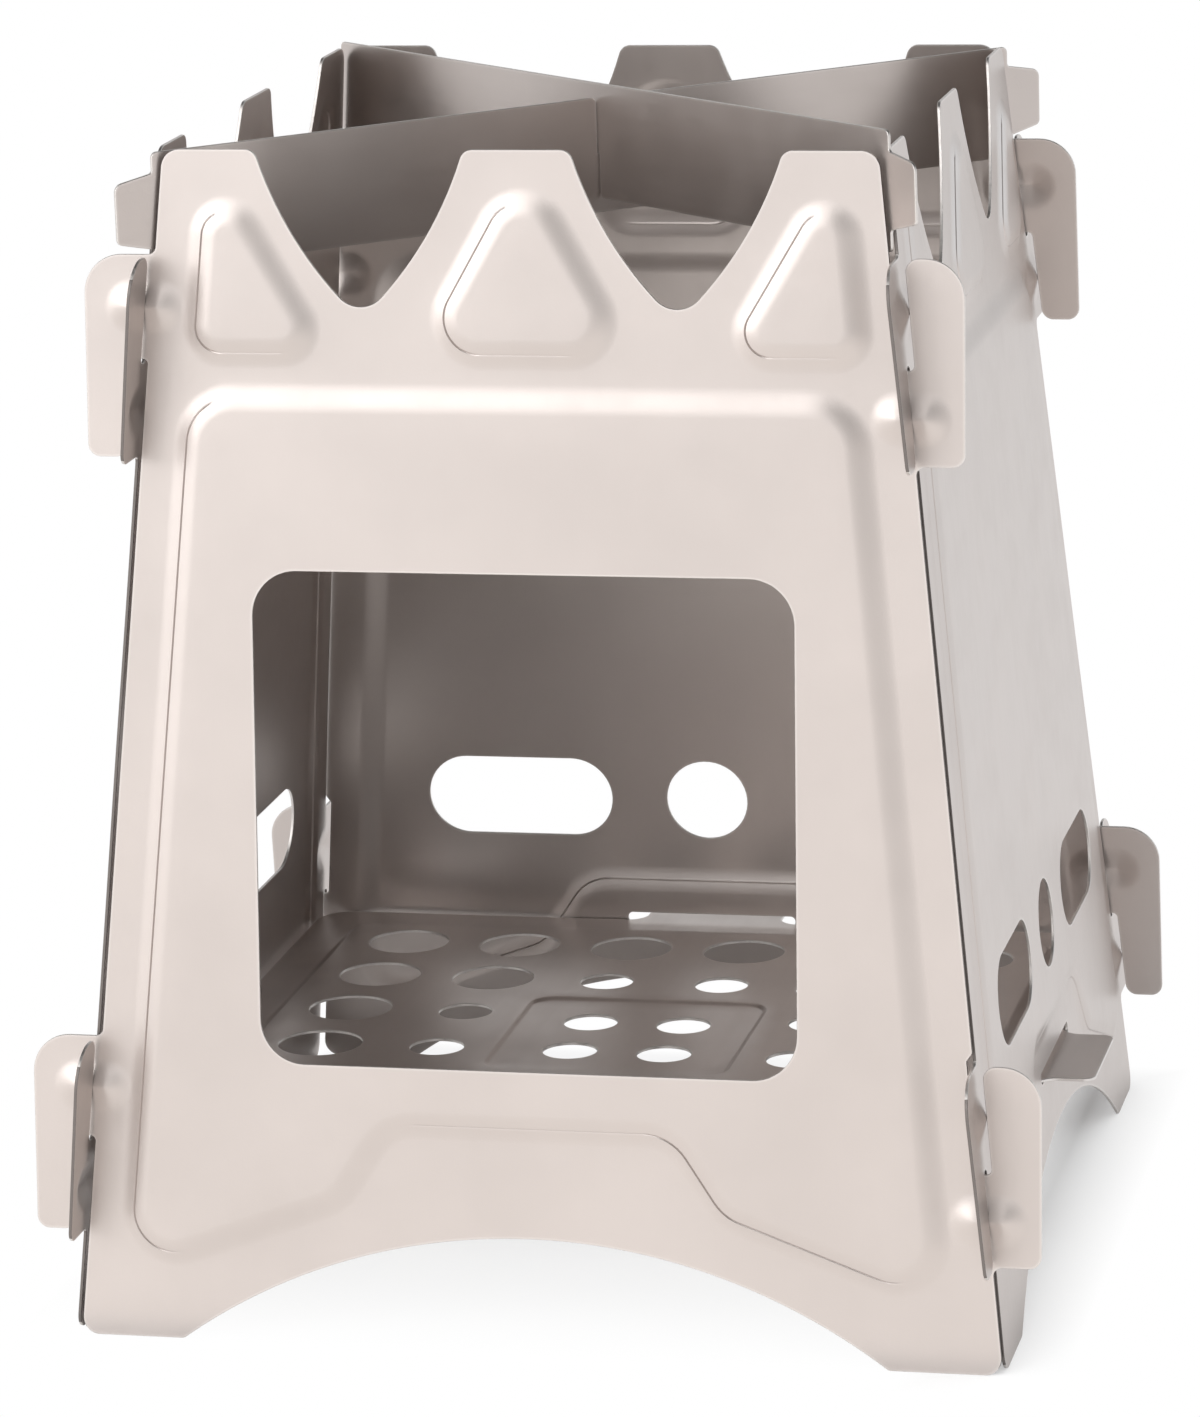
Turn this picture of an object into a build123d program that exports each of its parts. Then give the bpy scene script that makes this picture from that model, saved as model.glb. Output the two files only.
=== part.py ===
from build123d import *
import os
from math import cos, radians, sin, sqrt

os.makedirs("parts", exist_ok=True)

# A knock-down camping stove, set up on the ground ready for a fire. Four leaning walls
# of thin sheet hook into each other at the corners, a perforated floor plate hangs in
# slots through three of the walls, and two crossed bars over the top carry the pot.
# Millimetres, +Z up, +Y to the back. The origin is on the ground under the middle.
# Each wall is drawn flat, seen from outside, with Y up along its own slope.

# How near a line a corner lies to count as on it
on_line = 0.01

# Sheet, the same for every piece
sheet = 0.5

# Wall blank. The feet are drawn a trim too long and then cut level with the ground.
wall_lean = 5.37
base_half_width = 73.6
wall_height = 185.8
corner_gap = 1.0
foot_trim = 0.05
foot_corner_radius = 2.7
tooth_outer_radius = 3.0
tooth_inner_radius = 2.0

# Arch between the feet
arch_height = 18.2
arch_radius = 95.0
arch_end_radius = 1.5

# Notches between the teeth
notch_offset = 24.5
notch_half_width = 16.3
notch_depth = 25.6
notch_bow = 2.05
notch_floor_radius = 4.5

# Corner hooks, two on each edge
hook_foot = 16.8
hook_top_drop = 16.0
hook_height = 31.1
hook_reach = 8.9
low_neck_height = 14.4
lap_gap = 0.7
finger_gap = 1.25
hook_shoulder_radius = 6.0
hook_corner_radius = 2.0
hook_root_radius = 1.2
slit_radius = 0.8

# Stamped ribs that stiffen the hook necks
rib_length = 12.0
rib_height = 6.3
rib_rise = 0.7
rib_run = 2.2

# Stamped field of a wall, drawn half way up its bevel
form_rise = 1.0
field_bevel = 4.0
field_inset = 7.2
field_top_drop = 37.7
field_foot_height = 10.7
field_shoulder_half = 30.5
field_shoulder_height = 23.1
field_step_half = 22.3
field_step_height = 35.6
field_top_radius = 7.5
field_foot_radius = 6.5
field_step_radius = 8.0

# Stamped pads of the teeth, drawn half way up their bevels. The flank of a side pad
# runs this far across for each millimetre up.
pad_bevel = 3.4
pad_foot_drop = 30.9
pad_inset = 6.4
pad_foot_half = 31.8
pad_flank_run = 0.6
pad_radius = 3.9
centre_pad_half = 15.0
centre_pad_height = 27.0
centre_pad_radius = 5.0

# Fire door in the front wall
door_width = 84.4
door_height = 76.9
door_sill = 44.7
door_radius = 7.0

# Air vents in the other three walls
vent_height = 50.5
vent_diameter = 14.3
vent_length = 33.0
vent_offset = 33.5

# Slots that hold the floor plate
slot_floor = 27.4
slot_length = 30.0
slot_height = 1.9
slot_radius = 0.9

# Floor plate
floor_gap = 0.4
floor_seat_gap = 0.05
floor_corner_radius = 6.0
floor_field_margin = 8.3
floor_field_rise = 0.9
floor_field_radius = 5.0
floor_bevel = 2.0
recess_width = 40.0
recess_depth = 1.2
recess_radius = 4.0
tab_width = 24.0
tab_reach = 9.0
tab_root_radius = 3.5
tab_tip_radius = 2.0
hole_pitch = 19.9
large_hole = 14.0
small_hole = 9.0
recess_hole_offset = 7.9

# Pot bars, drawn from the middle of the top edge
bar_height = 18.4
bar_corner_radius = 1.0
ear_root_inset = 1.1
ear_reach = 6.5
ear_top_drop = 3.2
ear_tip_drop = 4.4
ear_tip_height = 9.1
ear_seat_drop = 15.0
ear_tip_radius = 1.5
ear_root_radius = 0.6
ear_seat_gap = 0.5
lower_slot_depth = 8.9
upper_slot_depth = 7.2
lap_slot_gap = 0.3
lap_mouth_radius = 1.0
lap_rest_gap = 0.05
upper_bar_lean = 0.9

lean_sine = sin(radians(wall_lean))
lean_cosine = cos(radians(wall_lean))
hook_feet = [hook_foot, wall_height - hook_top_drop - hook_height]
high_neck_height = hook_height - low_neck_height - lap_gap
field_top = wall_height - field_top_drop
pad_foot = wall_height - pad_foot_drop


def half_width(height):
    """From the middle of a wall to the plane of its neighbour, at a height up the slope."""
    return base_half_width - height * lean_sine


def level_half_width(level):
    """The same, at a height above the ground."""
    return half_width(level / lean_cosine)


def wall_plane(turn):
    """Mid-plane of a wall, looked at from outside, turned round the stove."""
    out_x = sin(radians(turn))
    out_y = -cos(radians(turn))
    return Plane(
        origin=(base_half_width * out_x, base_half_width * out_y, 0),
        x_dir=(-out_y, out_x, 0),
        z_dir=(lean_cosine * out_x, lean_cosine * out_y, lean_sine),
    )


def hook_reach_line(foot):
    """Outer edge of a hook."""
    return half_width(foot + hook_height / 2) + hook_reach


def low_neck_edge():
    """Right-hand edge from the foot up: hooks joined at the bottom, with a slit from above."""
    corners = [(half_width(0) - corner_gap, -foot_trim, foot_corner_radius)]
    for foot in hook_feet:
        slit_floor = foot + low_neck_height
        top = foot + hook_height
        corners += [
            (half_width(foot) - corner_gap, foot, hook_root_radius),
            (hook_reach_line(foot), foot, hook_corner_radius),
            (hook_reach_line(foot), top, hook_shoulder_radius),
            (half_width(top) + finger_gap, top, hook_corner_radius),
            (half_width(slit_floor) + finger_gap, slit_floor, slit_radius),
            (half_width(slit_floor) - corner_gap, slit_floor, slit_radius),
        ]
    return corners + [(half_width(wall_height) - corner_gap, wall_height, tooth_outer_radius)]


def high_neck_edge():
    """Left-hand edge from the foot up: hooks joined at the top, with a slit from below."""
    corners = [(half_width(0) - corner_gap, -foot_trim, foot_corner_radius)]
    for foot in hook_feet:
        top = foot + hook_height
        slit_top = top - high_neck_height
        corners += [
            (half_width(slit_top) - corner_gap, slit_top, slit_radius),
            (half_width(slit_top) + finger_gap, slit_top, slit_radius),
            (half_width(foot) + finger_gap, foot, hook_corner_radius),
            (hook_reach_line(foot), foot, hook_corner_radius),
            (hook_reach_line(foot), top, hook_shoulder_radius),
            (half_width(top) - corner_gap, top, hook_root_radius),
        ]
    corners += [(half_width(wall_height) - corner_gap, wall_height, tooth_outer_radius)]
    return [(-across, height, radius) for across, height, radius in corners]


# Notch between two teeth, with bowed flanks and a rounded floor
with BuildSketch() as notch:
    with BuildLine():
        flank_foot = (0, wall_height - notch_depth)
        flank_top = (notch_half_width, wall_height)
        SagittaArc(flank_top, flank_foot, notch_bow)
        Line(flank_top, (notch_half_width, wall_height + sheet))
        Line((notch_half_width, wall_height + sheet), (0, wall_height + sheet))
        mirror(about=Plane.YZ)
    make_face()
    fillet(notch.vertices().sort_by(Axis.Y)[0], notch_floor_radius)

# Flat blank of a wall
outline_corners = low_neck_edge() + high_neck_edge()[::-1]
with BuildSketch() as wall_outline:
    with BuildLine():
        FilletPolyline(
            *[(across, height) for across, height, radius in outline_corners],
            radius=[radius for across, height, radius in outline_corners],
            close=True,
        )
    make_face()
    with Locations((-notch_offset, 0), (notch_offset, 0)):
        add(notch.sketch, mode=Mode.SUBTRACT)
    with Locations((0, arch_height - arch_radius)):
        Circle(arch_radius, mode=Mode.SUBTRACT)
    notch_side = notch_offset + notch_half_width + on_line
    tooth_tips = wall_outline.vertices().filter_by_position(
        Axis.Y, wall_height - on_line, wall_height + on_line
    )
    fillet(tooth_tips.filter_by_position(Axis.X, -notch_side, notch_side), tooth_inner_radius)
    arch_ends = wall_outline.vertices().group_by(Axis.Y)[0].sort_by(Axis.X)[1:-1]
    fillet(arch_ends, arch_end_radius)

# Stamped field, half way up its bevel
with BuildSketch() as field_outline:
    with BuildLine():
        field_top_half = half_width(field_top) - corner_gap - field_inset
        field_foot_half = half_width(field_foot_height) - corner_gap - field_inset
        right_field = [
            (field_top_half, field_top, field_top_radius),
            (field_foot_half, field_foot_height, field_foot_radius),
            (field_shoulder_half, field_shoulder_height, field_step_radius),
            (field_step_half, field_step_height, field_step_radius),
        ]
        left_field = [(-across, height, radius) for across, height, radius in right_field[::-1]]
        FilletPolyline(
            *[(across, height) for across, height, radius in right_field + left_field],
            radius=[radius for across, height, radius in right_field + left_field],
            close=True,
        )
    make_face()

# Stamped pad of the tooth on the right, half way up its bevel
pad_outer_half = half_width(pad_foot) - corner_gap - pad_inset
pad_tip_rise = (pad_outer_half - pad_foot_half) / (pad_flank_run + lean_sine)
with BuildSketch() as side_pad_outline:
    with BuildLine():
        Polyline(
            (pad_foot_half, pad_foot),
            (pad_outer_half, pad_foot),
            (pad_outer_half - pad_tip_rise * lean_sine, pad_foot + pad_tip_rise),
            close=True,
        )
    make_face()
    fillet(side_pad_outline.vertices(), pad_radius)

# Stamped pad of the middle tooth
with BuildSketch() as centre_pad_outline:
    with BuildLine():
        Polyline(
            (-centre_pad_half, pad_foot),
            (centre_pad_half, pad_foot),
            (0, pad_foot + centre_pad_height),
            close=True,
        )
    make_face()
    fillet(centre_pad_outline.vertices(), centre_pad_radius)


# Stamped ribs of the hook necks, centred on the corner lines
with BuildSketch() as rib_outlines:
    for foot in hook_feet:
        low_neck_middle = foot + low_neck_height / 2
        high_neck_middle = foot + hook_height - high_neck_height / 2
        with Locations(
            (half_width(low_neck_middle), low_neck_middle),
            (-half_width(high_neck_middle), high_neck_middle),
        ):
            SlotOverall(rib_length - rib_run, rib_height - rib_run)


def pressed_form(plane, outline, bevel, rise):
    """Stamped form, from its foot on the plane to its narrower crest."""
    with BuildPart() as form:
        with BuildSketch(plane):
            offset(outline, amount=bevel / 2)
        with BuildSketch(plane.offset(rise)):
            offset(outline, amount=-bevel / 2)
        loft(ruled=True)
    return form.part


stamps = [
    (field_outline.face(), field_bevel, form_rise),
    (side_pad_outline.face(), pad_bevel, form_rise),
    (side_pad_outline.face().mirror(Plane.YZ), pad_bevel, form_rise),
    (centre_pad_outline.face(), pad_bevel, form_rise),
]
stamps += [(rib, rib_run, rib_rise) for rib in rib_outlines.faces()]
sheet_face = Plane.XY.offset(sheet / 2)
sheet_back = Plane.XY.offset(-sheet / 2)

# Wall sheet, flat, as it leaves the press
with BuildPart() as stamped_sheet:
    with BuildSketch():
        add(wall_outline.sketch)
    extrude(amount=sheet / 2, both=True)
    for outline, bevel, rise in stamps:
        add(pressed_form(sheet_face, outline, bevel, rise))
    for outline, bevel, rise in stamps:
        add(pressed_form(sheet_back, outline, bevel, rise), mode=Mode.SUBTRACT)

# Front sheet, with the fire door
with BuildPart() as door_sheet:
    add(stamped_sheet.part)
    with BuildSketch():
        with Locations((0, door_sill + door_height / 2)):
            RectangleRounded(door_width, door_height, door_radius)
    extrude(amount=form_rise + sheet, both=True, mode=Mode.SUBTRACT)

# Sheet of the other walls, with air vents and the slot for the floor plate
with BuildPart() as vented_sheet:
    add(stamped_sheet.part)
    with BuildSketch():
        with Locations((0, vent_height)):
            Circle(vent_diameter / 2)
        with Locations((-vent_offset, vent_height), (vent_offset, vent_height)):
            SlotOverall(vent_length, vent_diameter)
        with Locations((0, slot_floor / lean_cosine + slot_height / 2)):
            RectangleRounded(slot_length, slot_height, slot_radius)
    extrude(amount=form_rise + sheet, both=True, mode=Mode.SUBTRACT)

# Four walls, stood on their slope with their feet cut level
with BuildPart() as front_panel:
    add(wall_plane(0).from_local_coords(door_sheet.part))
    split(bisect_by=Plane.XY, keep=Keep.TOP)
front_panel.part.label = "front_panel"
export_step(front_panel.part, "parts/front_panel.step")

with BuildPart() as right_panel:
    add(wall_plane(90).from_local_coords(vented_sheet.part))
    split(bisect_by=Plane.XY, keep=Keep.TOP)
right_panel.part.label = "right_panel"
export_step(right_panel.part, "parts/right_panel.step")

with BuildPart() as back_panel:
    add(wall_plane(180).from_local_coords(vented_sheet.part))
    split(bisect_by=Plane.XY, keep=Keep.TOP)
back_panel.part.label = "back_panel"
export_step(back_panel.part, "parts/back_panel.step")

with BuildPart() as left_panel:
    add(wall_plane(270).from_local_coords(vented_sheet.part))
    split(bisect_by=Plane.XY, keep=Keep.TOP)
left_panel.part.label = "left_panel"
export_step(left_panel.part, "parts/left_panel.step")

# Floor plate, resting on the floors of the wall slots
plate_level = slot_floor + floor_seat_gap
plate_half = level_half_width(plate_level + sheet) - sheet / 2 - floor_gap
tab_length = plate_half + tab_reach
field_level = plate_level + floor_field_rise
floor_field_width = 2 * (plate_half - floor_field_margin)
hole_lines = [(index - 2.5) * hole_pitch for index in range(6)]
hole_grid = [(x, y) for x in hole_lines for y in hole_lines]
outer_ring = [(x, y) for x, y in hole_grid if max(abs(x), abs(y)) > 2 * hole_pitch]
inner_ring = [(x, y) for x, y in hole_grid if hole_pitch < max(abs(x), abs(y)) < 2 * hole_pitch]
ring_corners = [(x, y) for x, y in inner_ring if abs(x) == abs(y)]
ring_sides = [(x, y) for x, y in inner_ring if abs(x) != abs(y)]

with BuildSketch() as floor_field_outline:
    RectangleRounded(floor_field_width, floor_field_width, floor_field_radius)

with BuildSketch() as recess_outline:
    RectangleRounded(recess_width, recess_width, recess_radius)

# Each stamp of the plate adds its form above one face and cuts it from below the other
floor_under = Plane.XY.offset(plate_level)
floor_top = floor_under.offset(sheet)
field_under = Plane.XY.offset(field_level)
field_top_face = field_under.offset(sheet)
field_stamp = (floor_field_outline.face(), floor_bevel, floor_field_rise)
recess_stamp = (recess_outline.face(), floor_bevel, -recess_depth)

with BuildPart() as floor_plate:
    with BuildSketch(floor_under) as plate_outline:
        RectangleRounded(2 * plate_half, 2 * plate_half, floor_corner_radius)
        Rectangle(2 * tab_length, tab_width)
        with Locations((0, tab_length / 2)):
            Rectangle(tab_width, tab_length)
        tab_roots = plate_outline.vertices().filter_by(
            lambda corner: abs(max(abs(corner.X), corner.Y) - plate_half) < on_line
            and abs(min(abs(corner.X), abs(corner.Y)) - tab_width / 2) < on_line
        )
        fillet(tab_roots, tab_root_radius)
        tab_tips = plate_outline.vertices().filter_by(
            lambda corner: abs(max(abs(corner.X), corner.Y) - tab_length) < on_line
        )
        fillet(tab_tips, tab_tip_radius)
    extrude(amount=sheet)
    add(pressed_form(floor_top, *field_stamp))
    add(pressed_form(floor_under, *field_stamp), mode=Mode.SUBTRACT)
    add(pressed_form(field_under, *recess_stamp))
    add(pressed_form(field_top_face, *recess_stamp), mode=Mode.SUBTRACT)
    with BuildSketch(Plane.XY.offset(plate_level - recess_depth)):
        with Locations(*outer_ring, *ring_corners):
            Circle(large_hole / 2)
        with Locations(*ring_sides):
            Circle(small_hole / 2)
        with GridLocations(2 * recess_hole_offset, 2 * recess_hole_offset, 2, 2):
            Circle(small_hole / 2)
    extrude(amount=2 * recess_depth + floor_field_rise + sheet, mode=Mode.SUBTRACT)
floor_plate.part.label = "floor_plate"
export_step(floor_plate.part, "parts/floor_plate.step")


def bar_plane(turn, lean, top):
    """Mid-plane of a pot bar, with its origin at the middle of the top edge."""
    along_x = cos(radians(turn))
    along_y = sin(radians(turn))
    level = cos(radians(lean))
    return Plane(
        origin=(0, 0, top),
        x_dir=(along_x * level, along_y * level, sin(radians(lean))),
        z_dir=(along_y, -along_x, 0),
    )


# Pot bar before its slot is cut, with an ear at each end that rests where two hooks cross
hook_top_corner = sqrt(2) * half_width(wall_height - hook_top_drop)
bar_half_length = hook_top_corner - ear_root_inset
with BuildSketch() as bar_outline:
    with BuildLine():
        right_end = [
            (bar_half_length, 0, bar_corner_radius),
            (bar_half_length, -ear_top_drop, ear_root_radius),
            (bar_half_length + ear_reach, -ear_tip_drop, ear_tip_radius),
            (bar_half_length + ear_reach, -ear_tip_drop - ear_tip_height, bar_corner_radius),
            (bar_half_length, -ear_seat_drop, ear_root_radius),
            (bar_half_length, -bar_height, bar_corner_radius),
        ]
        left_end = [(-along, drop, radius) for along, drop, radius in right_end[::-1]]
        FilletPolyline(
            *[(along, drop) for along, drop, radius in right_end + left_end],
            radius=[radius for along, drop, radius in right_end + left_end],
            close=True,
        )
    make_face()

# Lower bar, from the front left corner to the back right one, slotted from above
hook_top_level = (wall_height - hook_top_drop) * lean_cosine
lower_bar_top = hook_top_level + ear_seat_gap + ear_seat_drop
lap_slot_width = sheet + 2 * lap_slot_gap
with BuildPart() as lower_bar:
    with BuildSketch(bar_plane(45, 0, lower_bar_top)) as lower_blank:
        add(bar_outline.sketch)
        with Locations((0, -lower_slot_depth / 2)):
            Rectangle(lap_slot_width, lower_slot_depth, mode=Mode.SUBTRACT)
        lower_mouth = lower_blank.vertices().group_by(Axis.Y)[-1].sort_by(Axis.X)[1:-1]
        fillet(lower_mouth, lap_mouth_radius)
    extrude(amount=sheet / 2, both=True)
lower_bar.part.label = "lower_bar"
export_step(lower_bar.part, "parts/lower_bar.step")

# Upper bar, from the back left corner to the front right one, slotted from below
upper_bar_top = lower_bar_top - lower_slot_depth + bar_height - upper_slot_depth + lap_rest_gap
with BuildPart() as upper_bar:
    with BuildSketch(bar_plane(-45, upper_bar_lean, upper_bar_top)) as upper_blank:
        add(bar_outline.sketch)
        with Locations((0, upper_slot_depth / 2 - bar_height)):
            Rectangle(lap_slot_width, upper_slot_depth, mode=Mode.SUBTRACT)
        upper_mouth = upper_blank.vertices().group_by(Axis.Y)[0].sort_by(Axis.X)[1:-1]
        fillet(upper_mouth, lap_mouth_radius)
    extrude(amount=sheet / 2, both=True)
upper_bar.part.label = "upper_bar"
export_step(upper_bar.part, "parts/upper_bar.step")
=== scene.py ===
from math import ceil, cos, pi, radians, sin, sqrt

import bpy
import numpy as np
from mathutils import Matrix, Vector
from mathutils.geometry import delaunay_2d_cdt


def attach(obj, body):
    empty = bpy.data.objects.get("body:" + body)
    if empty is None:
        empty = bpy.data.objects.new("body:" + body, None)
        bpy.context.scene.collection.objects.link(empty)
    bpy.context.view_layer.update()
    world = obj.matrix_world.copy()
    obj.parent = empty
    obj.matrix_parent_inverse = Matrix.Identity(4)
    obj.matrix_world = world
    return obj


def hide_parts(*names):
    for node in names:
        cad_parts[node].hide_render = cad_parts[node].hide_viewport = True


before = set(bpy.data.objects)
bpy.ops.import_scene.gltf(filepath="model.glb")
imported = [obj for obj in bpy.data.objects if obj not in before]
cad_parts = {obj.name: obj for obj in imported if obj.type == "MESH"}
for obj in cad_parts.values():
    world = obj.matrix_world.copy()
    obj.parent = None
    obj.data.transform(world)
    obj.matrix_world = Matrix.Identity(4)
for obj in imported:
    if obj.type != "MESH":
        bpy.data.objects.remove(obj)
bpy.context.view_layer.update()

# The looks of a knock-down camping stove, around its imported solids. Every sheet piece is drawn
# flat in millimetres, from the sizes of the solids and some of its own, triangulated with a ring
# of points for each step of its pressed forms, given its thickness and a broken edge, and stood
# in its place.

# Sizes that are the same as those of the solids, in millimetres and radians
SHEET = 0.5
WALL_LEAN = radians(5.37)
BASE_HALF_WIDTH = 73.6
WALL_HEIGHT = 185.8
CORNER_GAP = 1.0
FOOT_TRIM = 0.05
FOOT_CORNER_RADIUS = 2.7
TOOTH_OUTER_RADIUS = 3.0
TOOTH_INNER_RADIUS = 2.0
ARCH_HEIGHT = 18.2
ARCH_RADIUS = 95.0
ARCH_END_RADIUS = 1.5
NOTCH_OFFSET = 24.5
NOTCH_HALF_WIDTH = 16.3
NOTCH_DEPTH = 25.6
NOTCH_BOW = 2.05
NOTCH_FLOOR_RADIUS = 4.5
HOOK_HEIGHT = 31.1
HOOK_FEET = (16.8, 138.7)
HOOK_REACH = 8.9
LOW_NECK_HEIGHT = 14.4
HIGH_NECK_HEIGHT = 16.0
FINGER_GAP = 1.25
HOOK_SHOULDER_RADIUS = 6.0
HOOK_CORNER_RADIUS = 2.0
HOOK_ROOT_RADIUS = 1.2
SLIT_RADIUS = 0.8
FORM_RISE = 1.0
FIELD_INSET = 7.2
FIELD_TOP = 148.1
FIELD_FOOT_HEIGHT = 10.7
FIELD_SHOULDER = (30.5, 23.1)
FIELD_STEP = (22.3, 35.6)
FIELD_TOP_RADIUS = 7.5
FIELD_FOOT_RADIUS = 6.5
FIELD_STEP_RADIUS = 8.0
PAD_FOOT = 154.9
PAD_INSET = 6.4
PAD_FLANK_RUN = 0.6
PAD_RADIUS = 3.9
DOOR_WIDTH = 84.4
DOOR_HEIGHT = 76.9
DOOR_RADIUS = 7.0
DOOR_SILL = 44.7
VENT_HEIGHT = 50.5
VENT_DIAMETER = 14.3
VENT_LENGTH = 33.0
VENT_OFFSET = 33.5
SLOT_FLOOR = 27.4
SLOT_LENGTH = 30.0
SLOT_HEIGHT = 1.9
SLOT_RADIUS = 0.9
PLATE_LEVEL = 27.45
PLATE_HALF = 70.32
PLATE_CORNER_RADIUS = 6.0
PLATE_FIELD_HALF = 62.02
PLATE_FIELD_RISE = 0.9
PLATE_FIELD_RADIUS = 5.0
PLATE_BEVEL = 2.0
RECESS_HALF = 20.0
RECESS_RADIUS = 4.0
TAB_HALF = 12.0
TAB_REACH = 9.0
TAB_ROOT_RADIUS = 3.5
TAB_TIP_RADIUS = 2.0
HOLE_PITCH = 19.9
HOLE_ROWS = 6
LARGE_HOLE = 14.0
SMALL_HOLE = 9.0
RECESS_HOLE_OFFSET = 7.9
BAR_TURN = radians(45)
BAR_HALF_LENGTH = 80.51
BAR_HEIGHT = 18.4
BAR_CORNER_RADIUS = 1.0
EAR_REACH = 6.5
EAR_TOP_DROP = 3.2
EAR_TIP_DROP = 4.4
EAR_TIP_HEIGHT = 9.1
EAR_SEAT_DROP = 15.0
EAR_TIP_RADIUS = 1.5
EAR_ROOT_RADIUS = 0.6
LOWER_BAR_TOP = 184.555
UPPER_BAR_TOP = 186.905
LOWER_SLOT_DEPTH = 8.9
UPPER_SLOT_DEPTH = 7.2
LAP_MOUTH_RADIUS = 1.0
UPPER_BAR_LEAN = radians(0.9)

# Sizes that are drawn otherwise than in the solids, in millimetres
FIELD_BEVEL = 4.8
PAD_BEVEL = 5.0
PAD_FOOT_HALF = 31.0
PAD_SHIFT = 0.9
CENTRE_PAD_HALF = 16.3
CENTRE_PAD_HEIGHT = 28.6
CENTRE_PAD_RADIUS = 5.5
RIB_LENGTH = 13.0
RIB_HEIGHT = 9.0
RIB_RISE = 1.0
RIB_RUN = 5.0
RECESS_DEPTH = 0.5
RECESS_BEVEL = 1.2
LAP_SLOT_WIDTH = 0.8

# Details that the solids don't have: the broken edge, the waviness of the sheet, the line that
# the tool leaves along a bevel, and the wall edges that reach over their neighbours
BROKEN_EDGE = 0.07
# The band along each edge that is drawn lighter, partly as burnish and partly as a painted
# highlight
WEAR_AND_HIGHLIGHT_WIDTH = 0.9
WAVE_HEIGHT = 0.045
WAVE_LENGTHS = (46, 63, 85, 120)
LINE_HALF_WIDTH = 0.17
LINE_DEPTH = 0.20
LINE_SIDE = (-1.1, -0.35)
EDGE_COVER = 1.0
COVER_CLEAR = 0.7
COVER_RADIUS = 0.5
COVER_RAMP = 1.3

# Wall edges painted dark, as painted shade in the gap at each corner, from and to a distance
# beyond the neighbour's plane, in millimetres, and how upright they stand, as the sine of their
# slope
GAP_SHADE_START = -1.7
GAP_SHADE_END = 0.9
UPRIGHT = 0.8

# How finely the sheets are drawn, in millimetres and radians
RUN_STEP = 2.0
FIELD_RUN_STEP = 1.2
PAD_RUN_STEP = 0.9
RIB_RUN_STEP = 0.6
SLOT_RUN_STEP = 0.5
RECESS_RUN_STEP = 1.0
CURVE_STEP = radians(0.5)
TURN_STEP = radians(8)
GRID_STEP = 4.5
GRID_ROW_STEP = 0.87 * GRID_STEP
GRID_CLEAR = 1.1
RING_STEP = 0.36
LINE_CLEAR = 1.2 * LINE_HALF_WIDTH
SHARP_ANGLE = radians(24)

# Slack in the geometry, in shares of a segment, in points along a line and in millimetres
CROSSING_SLACK = 1e-9
PLACE_SLACK = 1e-6
RADIUS_SLACK = 1e-4
JOIN_SLACK = 1e-6

# Points that are measured at a time, and parts that the grid is measured in
BATCH = 4000
GRID_PARTS = 20

# Material numbers of a sheet's faces, its cut edges and its corner edges painted dark as shade
FACE_KIND, EDGE_KIND, GAP_SHADE_KIND = 0, 1, 2

# Seeds of the waviness. The walls' seeds follow on each other.
WALL_SEED = 11
PLATE_SEED = 21
LOWER_BAR_SEED = 31
UPPER_BAR_SEED = 32

MM = 0.001


def half_width(height):
    """From the middle of a wall to the plane of its neighbour, at a height up the slope."""
    return BASE_HALF_WIDTH - height * sin(WALL_LEAN)


# Outlines

def line(start, end):
    return np.array([start, end], float)


def bowed(start, end, bow):
    """An arc between two points that bows to the left of its run."""
    start, end = np.array(start, float), np.array(end, float)
    chord = end - start
    length = np.hypot(*chord)
    left = np.array([-chord[1], chord[0]]) / length
    radius = (length**2 / 4 + bow**2) / (2 * bow)
    centre = (start + end) / 2 + left * (bow - radius)
    return arc(centre, start, end)


def arc(centre, start, end, step=CURVE_STEP):
    """Points round a centre, the short way from a start to an end."""
    a, b = np.array(start) - centre, np.array(end) - centre
    first = np.arctan2(a[1], a[0])
    turn = (np.arctan2(b[1], b[0]) - first + pi) % (2 * pi) - pi
    angles = first + turn * np.linspace(0, 1, max(2, ceil(abs(turn) / step)) + 1)
    return centre + np.hypot(*a) * np.c_[np.cos(angles), np.sin(angles)]


def moved_left(points, amount):
    """A polyline moved to the left of its run."""
    run = np.gradient(points, axis=0)
    run /= np.hypot(run[:, 0], run[:, 1])[:, None]
    return points + amount * np.c_[-run[:, 1], run[:, 0]]


def crossing(a, b):
    """Where polyline a meets polyline b, as a place on each, counted in points."""
    p, r = a[:-1, None], (a[1:] - a[:-1])[:, None]
    q, s = b[None, :-1], (b[1:] - b[:-1])[None]
    area = r[..., 0] * s[..., 1] - r[..., 1] * s[..., 0]
    gap = q - p
    with np.errstate(divide="ignore", invalid="ignore"):
        on_a = (gap[..., 0] * s[..., 1] - gap[..., 1] * s[..., 0]) / area
        on_b = (gap[..., 0] * r[..., 1] - gap[..., 1] * r[..., 0]) / area
    low, high = -CROSSING_SLACK, 1 + CROSSING_SLACK
    hit = (on_a > low) & (on_a < high) & (on_b > low) & (on_b < high)
    i, j = np.argwhere(hit)[-1]
    return i + on_a[i, j], j + on_b[i, j]


def point_at(points, place):
    """The point at a place on a polyline, counted in points."""
    i = min(int(place), len(points) - 2)
    return points[i] + (place - i) * (points[i + 1] - points[i])


def between(points, low, high):
    """The part of a polyline from one place to another."""
    first, last = low + PLACE_SLACK, high - PLACE_SLACK
    inner = [points[i] for i in range(len(points)) if first < i < last]
    return np.array([point_at(points, low), *inner, point_at(points, high)])


def resampled(points, step):
    """A polyline with evenly spaced points."""
    length = np.r_[0, np.cumsum(np.hypot(*np.diff(points, axis=0).T))]
    places = np.linspace(0, length[-1], max(1, ceil(length[-1] / step)) + 1)
    x, y = points.T
    return np.c_[np.interp(places, length, x), np.interp(places, length, y)]


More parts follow.
